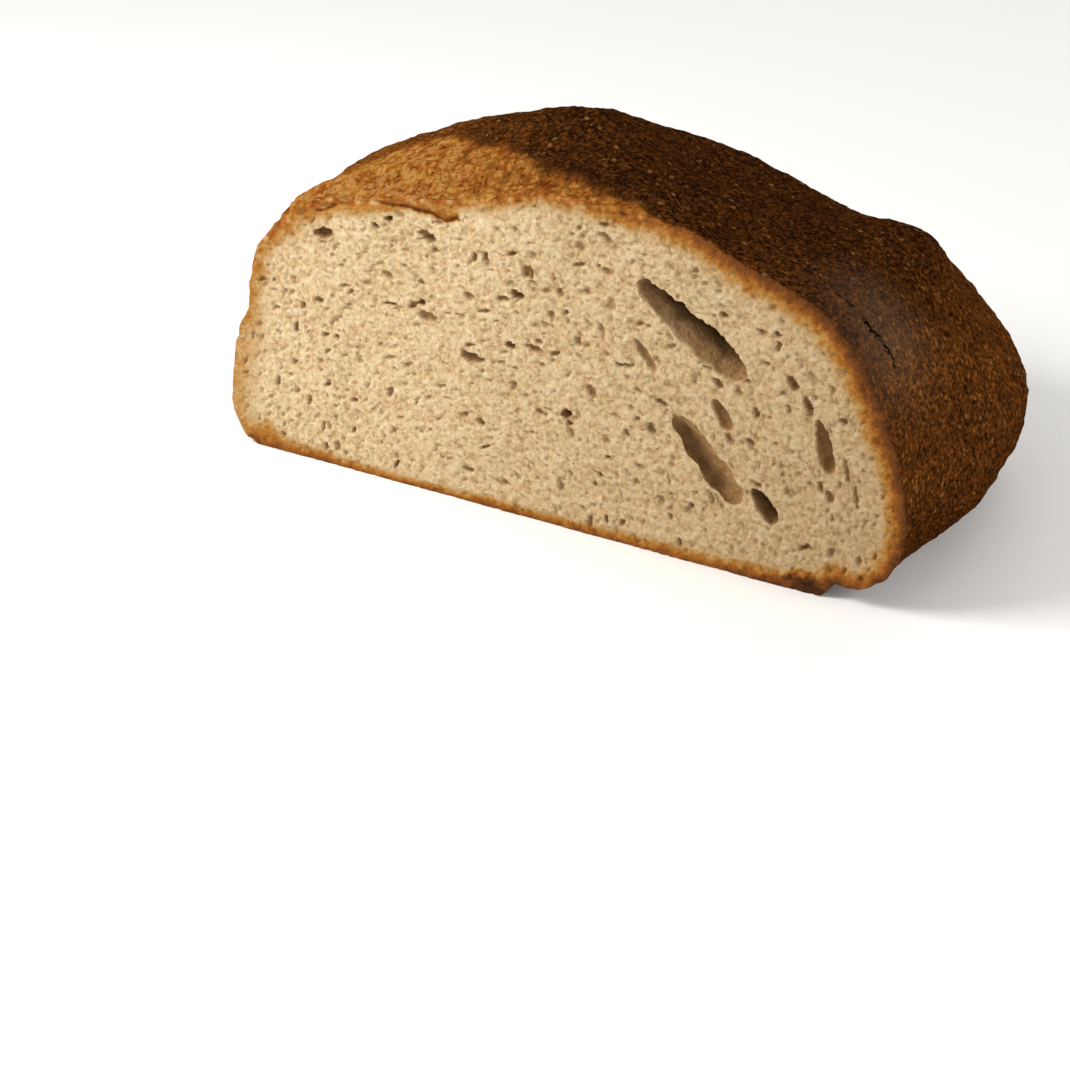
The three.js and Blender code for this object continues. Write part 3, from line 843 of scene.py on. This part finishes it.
# Whole wheat crust, dried and browned in the oven: dull and pebbled, with pale specks of bran.
def ovenBakedCrust():
    finish = crustFinish
    material, tree = startMaterial("wheatCrustOvenBaked")
    place = addNode(tree, "TexCoord", out="Object")
    grain = addNode(tree, "TexNoise", finish["grain"], {"Vector": place})
    _, colour = bakedColour(tree, place, grain, finish["spread"], finish["palest"])
    colour = branSpecks(tree, place, finish, colour)
    # a paler, greyer place on the right flank
    floury = addNode(tree, "Attribute", {"attribute_name": "floury"}, out="Fac")
    greyed = addNode(tree, "MapRange", finish["greyishShare"], {"Value": floury})
    colour = addNode(tree, "Mix", finish["flourTint"], {0: greyed, 6: colour}, out=2)
    upright = addNode(tree, "Mapping", finish["upright"], {"Vector": place})
    wrinkle = addNode(tree, "TexNoise", finish["wrinkle"], {"Vector": upright})
    fold = addNode(tree, "MapRange", finish["fold"], {"Value": wrinkle})
    pebble = addNode(tree, "TexVoronoi", finish["pebble"], {"Vector": place})
    bump = addNode(tree, "Bump", finish["foldBump"], {"Height": fold})
    bump = addNode(tree, "Bump", finish["pebbleBump"], {"Height": pebble, "Normal": bump})
    bump = addNode(tree, "Bump", finish["grainBump"], {"Height": grain, "Normal": bump})
    rough = addNode(tree, "MapRange", finish["roughness"], {"Value": grain})
    shader = addNode(tree, "BsdfPrincipled", finish["surface"],
                     {"Base Color": colour, "Roughness": rough, "Normal": bump})
    addNode(tree, "OutputMaterial", {}, {"Surface": shader})
    return material


crumbFinish = {
    "cloudy": {"Scale": across(4), "Detail": 4, "Roughness": 0.7},
    "grain": {"Scale": across(1.3), "Detail": 4, "Roughness": 0.65, "Distortion": 0.6}, "spread": 0.55,
    "broad": [(0.36, "#C6A078"), (0.5, "#CAB086"), (0.64, "#C6B488")],
    "fine": [(0.35, "#A27D50"), (0.47, "#CDAF82"), (0.62, "#E3D0AB")], "fineShare": 0.62,
    "towards": {"operation": "DOT_PRODUCT", 1: (0.9, 0, -0.45)},   # painted shade: it is darker low on the right, where the light falls off
    "lowRightShade": {"From Min": -45 * mm, "From Max": 65 * mm, "To Max": 0.46}, "denserTint": tint("#94744A"),
    "bran": {"Scale": across(1.9)}, "branTint": tint("#8F5C3C"),
    "branSize": {"From Min": 0.4, "From Max": 1, "To Min": 0, "To Max": 0.34},
    "branShare": {"From Max": 0.1, "To Max": 0.55},
    # painted shade in the pores and, darker, in the large holes, by their depth behind the cut
    "pit": {"interpolation_type": "SMOOTHSTEP", "From Min": 0.3, "From Max": 1.5, "To Max": 0.72},
    "pitTint": tint("#865A2A"),
    "deep": {"interpolation_type": "SMOOTHSTEP", "From Min": 3.2, "From Max": 7.8, "To Max": 0.9},
    "deepTint": tint("#3A240A"),
    "rim": {"interpolation_type": "SMOOTHSTEP", "From Min": 0.015, "From Max": 0.14},
    "cells": {"Scale": across(1.0)}, "cellBump": {"Strength": 0.6, "Distance": 0.3 * mm},
    "grainBump": {"Strength": 0.8, "Distance": 0.5 * mm},
    "surface": {"IOR": 1.4, "Specular IOR Level": 0.15, "Roughness": 0.85, "Subsurface Weight": 0.1,
                "Subsurface Radius": (1.6, 1.0, 0.5), "Subsurface Scale": 0.8 * mm},
}


# Whole wheat crumb, cut with a toothed knife: matt, porous, beige with brown bran in it.
def knifeCutCrumb():
    finish = crumbFinish
    material, tree = startMaterial("wheatCrumbKnifeCut")
    place = addNode(tree, "TexCoord", out="Object")
    cloudy = addNode(tree, "TexNoise", finish["cloudy"], {"Vector": place})
    grain = addNode(tree, "TexNoise", finish["grain"], {"Vector": place})
    baked, browned = bakedColour(tree, place, grain, finish["spread"], 0)
    broad = addNode(tree, "ValToRGB", {"stops": finish["broad"]}, {"Fac": cloudy})
    fine = addNode(tree, "ValToRGB", {"stops": finish["fine"]}, {"Fac": grain})
    colour = addNode(tree, "Mix", {"data_type": "RGBA", 0: finish["fineShare"]}, {6: broad, 7: fine}, out=2)
    # painted shade: the crumb's colour darkens towards the lower right, where the light falls off
    lowRight = addNode(tree, "VectorMath", finish["towards"], {0: place}, out="Value")
    lowRightShade = addNode(tree, "MapRange", finish["lowRightShade"], {"Value": lowRight})
    colour = addNode(tree, "Mix", finish["denserTint"], {0: lowRightShade, 6: colour}, out=2)
    colour = branSpecks(tree, place, finish, colour)
    behind = addNode(tree, "Attribute", {"attribute_name": "behind"}, out="Fac")
    for part in ("pit", "deep"):   # painted shade: the insides of the pores are darker, and the large holes darker still, by depth behind the cut
        shaded = addNode(tree, "MapRange", finish[part], {"Value": behind})
        colour = addNode(tree, "Mix", finish[part + "Tint"], {0: shaded, 6: colour}, out=2)
    rim = addNode(tree, "MapRange", finish["rim"], {"Value": baked})
    colour = addNode(tree, "Mix", {"data_type": "RGBA"}, {0: rim, 6: colour, 7: browned}, out=2)
    cells = addNode(tree, "TexVoronoi", finish["cells"], {"Vector": place})
    bump = addNode(tree, "Bump", finish["cellBump"], {"Height": cells})
    bump = addNode(tree, "Bump", finish["grainBump"], {"Height": grain, "Normal": bump})
    shader = addNode(tree, "BsdfPrincipled", finish["surface"], {"Base Color": colour, "Normal": bump})
    addNode(tree, "OutputMaterial", {}, {"Surface": shader})
    return material


skinMatch = {"within": 0.3, "facing": 0.4}   # mm from the loaf's outside, and how far a face turns its way
smoothUpTo = 50                              # degrees between faces that are shaded as one


def dressCut(piece):   # faces that don't lie along the loaf's outside show crumb
    offSkin = []
    for face in piece.data.polygons:
        _, normal, _, away = doughSkin.find_nearest(face.center)
        offSkin.append(away > skinMatch["within"] * mm or normal.dot(face.normal) < skinMatch["facing"])
    piece.data.polygons.foreach_set("material_index", np.array(offSkin, np.int32))


crustMaterial = ovenBakedCrust()
crumbMaterial = knifeCutCrumb()
for piece, materials in ((crust, (crustMaterial, crumbMaterial)), (crumb, (crumbMaterial,))):
    piece.data.materials.clear()
    for material in materials:
        piece.data.materials.append(material)
dressCut(crust)
for piece in (crust, crumb):
    setActive(piece)
    bpy.ops.object.shade_smooth_by_angle(angle=math.radians(smoothUpTo))
    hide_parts("loaf")
    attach(piece, "root")
    print(piece.name, "triangles:", sum(len(face.vertices) - 2 for face in piece.data.polygons))
print("materials set")

# A pale floor under soft studio light.
studio = {
    "floorSize": 8, "floorColour": "#F4F2EF", "floorRoughness": 0.9,
    "aim": (0, 0, 0.04),     # what the lamps point at, in m
    "surround": 0.4,         # white light from all round
    "lamps": [               # name, place in m from where the loaf stands, size in m, watts
        ("key", (-0.34, -0.28, 0.40), 0.24, 3.15),
        ("fill", (1.0, -0.10, 0.50), 0.9, 7.5),
        ("back", (0.0, 1.0, 0.9), 1.0, 4.0)],
}
bpy.ops.object.select_all(action="DESELECT")
bpy.ops.mesh.primitive_plane_add(size=studio["floorSize"])
floor = bpy.context.object
floor.name = "floor"
floorMaterial, floorTree = startMaterial("paperWhiteMatt")
floorSurface = {"Base Color": linear(studio["floorColour"]), "Roughness": studio["floorRoughness"]}
floorShader = addNode(floorTree, "BsdfPrincipled", floorSurface)
addNode(floorTree, "OutputMaterial", {}, {"Surface": floorShader})
floor.data.materials.append(floorMaterial)

for name, place, size, watts in studio["lamps"]:
    bpy.ops.object.light_add(type="AREA", location=place)
    lamp = bpy.context.object
    lamp.name = name
    lamp.data.size = size
    lamp.data.energy = watts
    lamp.rotation_euler = (Vector(studio["aim"]) - Vector(place)).to_track_quat("-Z", "Y").to_euler()
world = bpy.data.worlds.new("studio")
bpy.context.scene.world = world
world.use_nodes = True
world.node_tree.nodes["Background"].inputs["Color"].default_value = (1, 1, 1, 1)
world.node_tree.nodes["Background"].inputs["Strength"].default_value = studio["surround"]
bpy.context.scene.view_settings.view_transform = "Standard"

# The camera looks down on the cut from its right, as in the photograph.
view = {
    "azimuth": 28.5, "elevation": 30.5, "distance": 590, "lens": 85, "sensor": 36,
    "frame": 1070, "cutFoot": (560, 530),   # the photograph's pixels, and the one at the form's origin
}
azimuth, elevation = math.radians(view["azimuth"]), math.radians(view["elevation"])
level = math.cos(elevation)
back = Vector((math.sin(azimuth) * level, -math.cos(azimuth) * level, math.sin(elevation)))
right = Vector((math.cos(azimuth), math.sin(azimuth), 0))
perPixel = view["distance"] * view["sensor"] / view["lens"] / view["frame"]   # mm at the loaf
aside, below = ((place - view["frame"] / 2) * perPixel for place in view["cutFoot"])
standing = Vector(shift) + back * view["distance"] - right * aside + back.cross(right) * below
bpy.ops.object.camera_add(location=standing * mm, rotation=(math.pi / 2 - elevation, 0, azimuth))
camera = bpy.context.object
camera.data.lens = view["lens"]
bpy.context.scene.camera = camera
